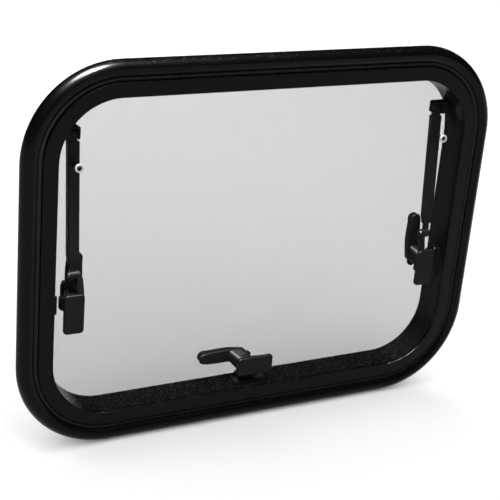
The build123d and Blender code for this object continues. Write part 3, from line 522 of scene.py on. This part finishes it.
def make_cover_strip():
    low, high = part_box("cover_strip")
    shape = bmesh.new()
    bmesh.ops.create_grid(shape, x_segments=1, y_segments=1, size=0.5)
    bmesh.ops.scale(shape, verts=shape.verts, vec=(high.x - low.x, high.z - low.z, 1))
    bmesh.ops.bevel(shape, geom=shape.verts[:], offset=STRIP_CORNER, offset_type="OFFSET",
                    segments=CORNER_SEGMENTS, profile=0.5, affect="VERTICES", material=-1)
    middle = list(shape.faces)
    height = high.y - low.y
    level = 0.0
    for step in range(1, STRIP_STEPS + 1):
        share = step / STRIP_STEPS
        crown = height * (1 - abs(2 * share - 1) ** 3)
        stepped(shape, middle, STRIP_WIDTH / STRIP_STEPS, crown - level)
        level = crown
    bmesh.ops.delete(shape, geom=middle, context="FACES_ONLY")
    open_edges = [edge for edge in shape.edges if len(edge.link_faces) == 1]
    bmesh.ops.bridge_loops(shape, edges=open_edges)
    middle_of_ring = Vector(((low.x + high.x) / 2, high.y, (low.z + high.z) / 2))
    place = Matrix.Translation(middle_of_ring) @ TO_ROOM
    bmesh.ops.transform(shape, matrix=place, verts=shape.verts)
    piece_of("rubber_strip", shape, "rubber_black", "frame", "cover_strip")


make_cover_strip()

# %% [markdown]
# ## Knob discs
#
# Each clamp knob ends in a pressed disc: a flat rim, a step down to a shallow dish and a low boss
# in the middle, with a fluted edge for the fingertips.

# %% Turned and knurled discs
KNURLS, KNURL_POINTS = 30, 4
KNURL_DEPTH = 0.012
DISC_THICKNESS, DISC_EDGE = 2.4 * MM, 0.5 * MM
DISH_STEPS = ((0.16, 0), (0.08, -0.2 * MM), (0.35, 0), (0.1, 0.15 * MM))


def make_knob_disc(side):
    low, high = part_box(f"knob_disc_{side}")
    joint = joints[f"knob_turn_{side}"]
    outward = Vector(joint["axis"])
    if outward.y > 0:
        outward = -outward
    centre = (low + high) / 2
    radius = (high.x - low.x) / 2
    shape = bmesh.new()
    bmesh.ops.create_circle(shape, cap_ends=True, segments=KNURLS * KNURL_POINTS, radius=radius)
    top = raised(shape, list(shape.faces), DISC_THICKNESS)
    rounded(shape, top, DISC_EDGE, 3)
    for point in shape.verts:
        flute = math.cos(KNURLS * math.atan2(point.co.y, point.co.x))
        point.co.xy *= 1 - KNURL_DEPTH * (1 - flute)
    shape.faces.ensure_lookup_table()
    dish = [max(shape.faces, key=lambda face: len(face.verts) * face.calc_center_median().z)]
    for share, rise in DISH_STEPS:
        stepped(shape, dish, radius * share, rise)
    turn = outward.to_track_quat("Z", "Y").to_matrix().to_4x4()
    place = Matrix.Translation(centre - outward * DISC_THICKNESS / 2) @ turn
    bmesh.ops.transform(shape, matrix=place, verts=shape.verts)
    piece_of(f"turned_disc_{side}", shape, "knob_grey", f"clamp_knob_{side}", f"knob_disc_{side}")


for side in ("left", "right"):
    make_knob_disc(side)

# %% [markdown]
# ## Studio
#
# The window stands on a pale floor before a white backdrop. One soft box above its left shoulder
# only shows in reflections and draws the long sheen on the bead. Two weak ones, in front and
# behind, only light the floor and soften the shadow at its foot.

# %% Floor, lights and backdrop
FLOOR_HALF = 12.0


def make_floor():
    mesh = bpy.data.meshes.new("floor")
    shape = bmesh.new()
    bmesh.ops.create_grid(shape, x_segments=1, y_segments=1, size=FLOOR_HALF)
    bmesh.ops.translate(shape, verts=shape.verts, vec=(0, 0, cad_low.z - 0.0002))
    shape.to_mesh(mesh)
    shape.free()
    floor = bpy.data.objects.new("floor", mesh)
    bpy.context.collection.objects.link(floor)
    paper = Finish("floor_paper", Roughness=0.9, Specular_IOR_Level=0.1)
    paper.tint(paper.noise(0.4, 2.0), grey(0.93), grey(0.95))
    mesh.materials.append(paper.material)


def make_soft_box(name, place, target, width, height, power, casts, mirrors):
    lamp = bpy.data.lights.new(name, "AREA")
    lamp.shape = "RECTANGLE"
    lamp.size = width
    lamp.size_y = height
    lamp.energy = power
    box = bpy.data.objects.new(name, lamp)
    bpy.context.collection.objects.link(box)
    box.location = place
    box.visible_diffuse = casts
    box.visible_glossy = mirrors
    box.rotation_mode = "QUATERNION"
    box.rotation_quaternion = (Vector(target) - Vector(place)).to_track_quat("-Z", "Y")
    print(name, "soft box of", power, "W, in diffuse light:", casts, "in reflections:", mirrors)


def make_backdrop(fill, mirrored):
    """White behind the window, and much darker where it is only seen as a reflection."""
    world = bpy.data.worlds.new("studio")
    world.use_nodes = True
    tree = world.node_tree
    ray = tree.nodes.new("ShaderNodeLightPath")
    drop = tree.nodes.new("ShaderNodeMapRange")
    drop.inputs["To Min"].default_value = fill
    drop.inputs["To Max"].default_value = mirrored
    tree.links.new(ray.outputs["Is Glossy Ray"], drop.inputs["Value"])
    tree.nodes["Background"].inputs["Color"].default_value = grey(1.0)
    tree.links.new(drop.outputs[0], tree.nodes["Background"].inputs["Strength"])
    bpy.context.scene.world = world


make_floor()
make_backdrop(1.05, 0.02)
make_soft_box("sheen", (-0.4, -0.33, 1.6), (-0.2, 0, 0), 0.6, 0.4, 700, False, True)
make_soft_box("front", (0.5, -2.2, 2.2), (0, 0, 0), 2.0, 2.0, 10, True, False)
make_soft_box("behind", (0.3, 1.6, 1.4), (0.1, 0.3, -0.3), 1.8, 1.8, 15, True, False)
bpy.context.scene.view_settings.view_transform = "Standard"

# %% [markdown]
# ## Camera
#
# A long lens from above the window's left front keeps its straight edges nearly parallel. The
# camera is turned a few degrees about its own line of sight.

# %% Camera
CAMERA_PLACE = Vector((-0.738, -1.287, 0.591))
CAMERA_AZIMUTH = math.radians(-29.25)
CAMERA_ELEVATION = math.radians(22.18)
CAMERA_ROLL = math.radians(5.14)
CAMERA_LENS = 94.7


def make_camera():
    camera = bpy.data.objects.new("camera", bpy.data.cameras.new("camera"))
    bpy.context.collection.objects.link(camera)
    camera.data.lens = CAMERA_LENS
    turn = Matrix.Rotation(CAMERA_AZIMUTH, 4, "Z")
    tilt = Matrix.Rotation(math.pi / 2 - CAMERA_ELEVATION, 4, "X")
    roll = Matrix.Rotation(CAMERA_ROLL, 4, "Z")
    camera.matrix_world = Matrix.Translation(CAMERA_PLACE) @ turn @ tilt @ roll
    bpy.context.scene.camera = camera


make_camera()
print("camera", [round(part, 3) for part in CAMERA_PLACE], "lens in mm", CAMERA_LENS)
